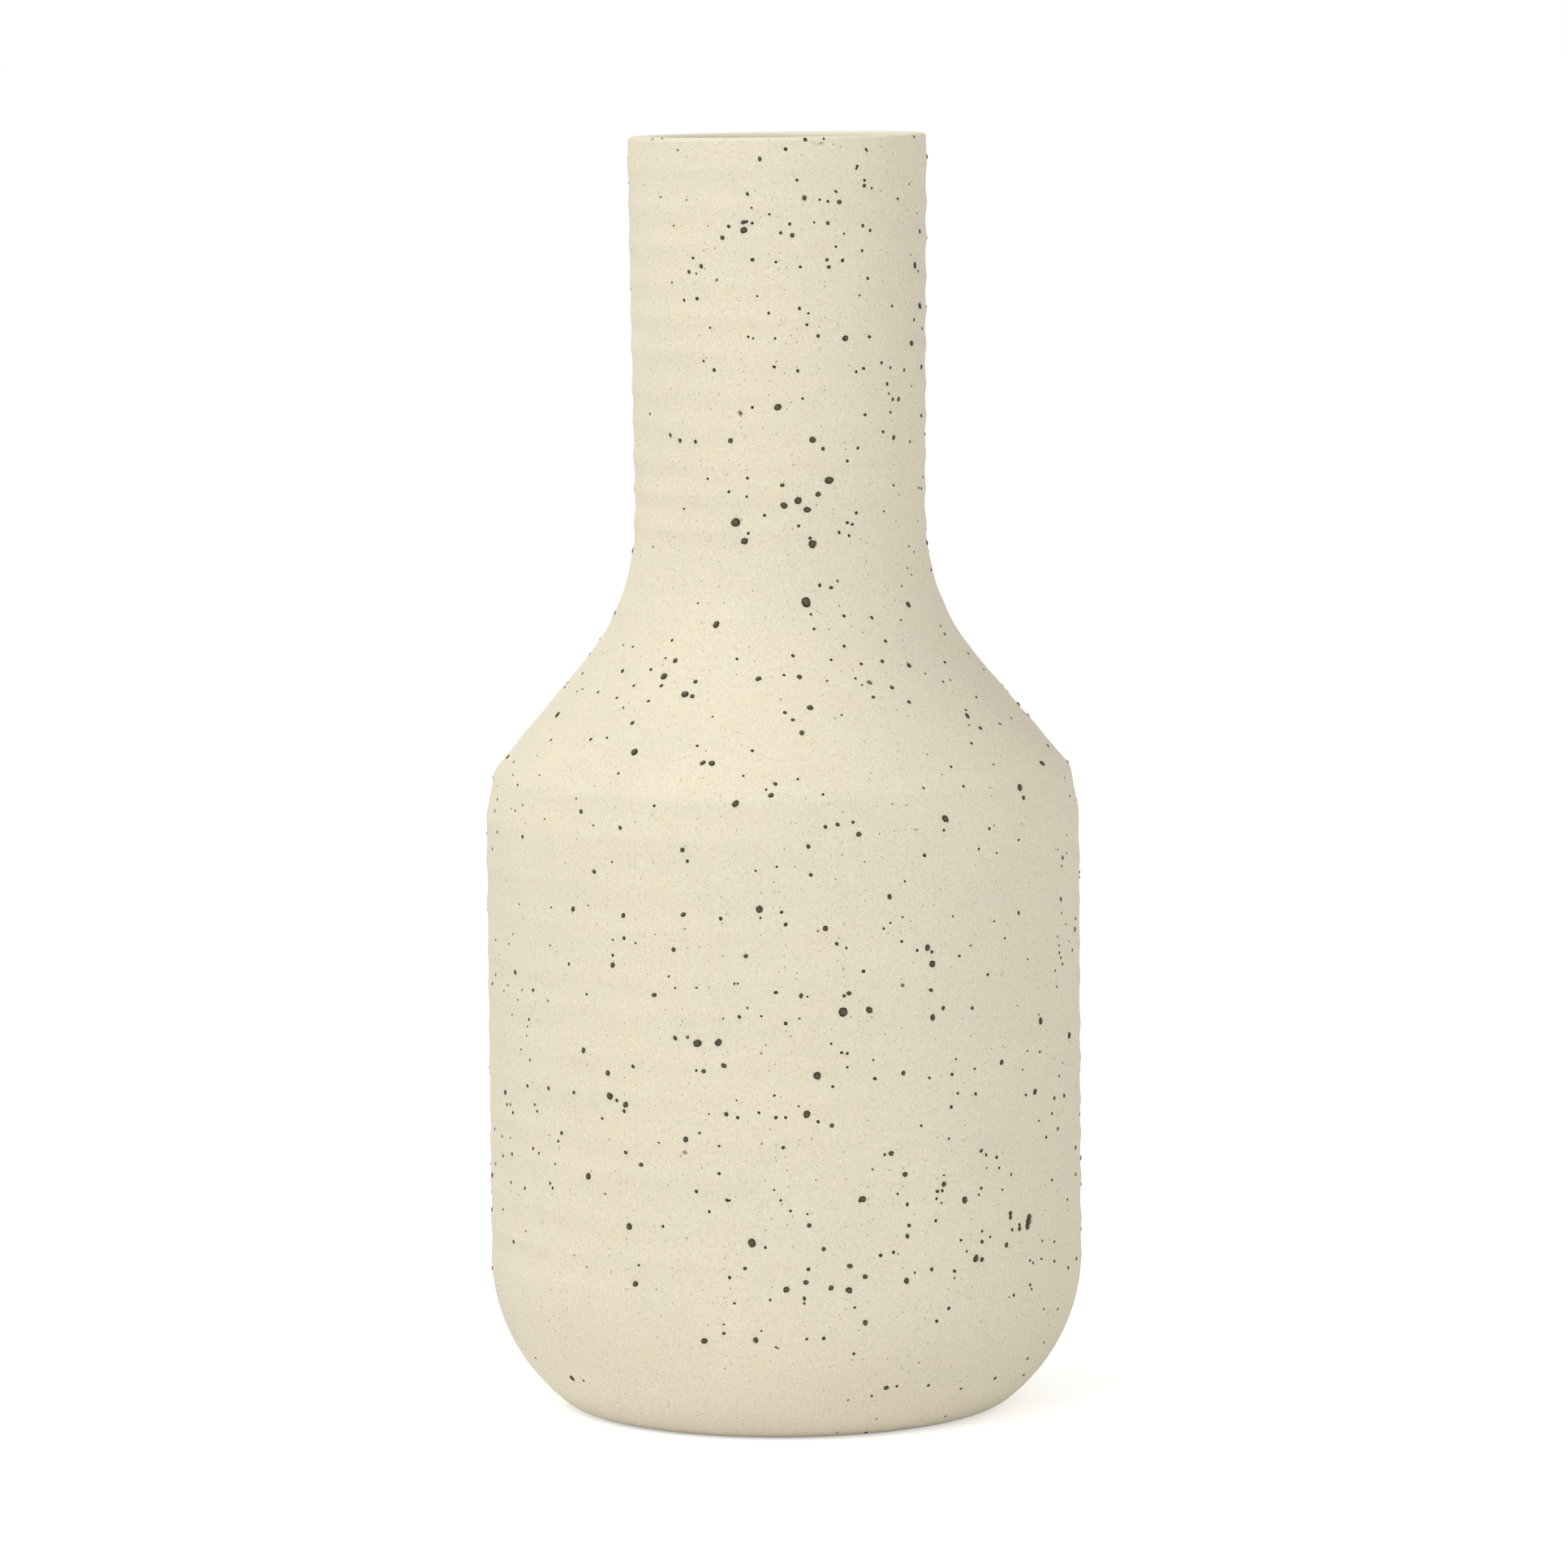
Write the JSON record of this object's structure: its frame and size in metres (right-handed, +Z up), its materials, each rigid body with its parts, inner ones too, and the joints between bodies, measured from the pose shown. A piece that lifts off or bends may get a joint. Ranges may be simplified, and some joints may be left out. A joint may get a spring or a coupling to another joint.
{
  "type": "bottle vase",
  "caption": "Thrown stoneware bottle vase with straight body, sloping shoulder and long neck, in a matte cream glaze with raised iron spots; holds water and cut stems.",
  "frame": {"origin": "centre of the foot, on the surface that the vase stands on", "axes": "+Z up along the axis of the vase, -Y towards the front"},
  "size_m": [0.1403, 0.1404, 0.3],
  "materials": {
    "stoneware": "bare fired stoneware",
    "slip": "fired slip",
    "matte_glaze": "matte cream glaze with fine speckle",
    "liner_glaze": "satin cream glaze",
    "iron": "glossy melted iron"
  },
  "bodies": {
    "root": {"body_section": "stoneware", "neck_section": "stoneware", "luting_slip": "slip", "outer_glaze": "matte_glaze", "liner_glaze": "liner_glaze", "iron_spots": "iron"}
  },
  "joints": []
}
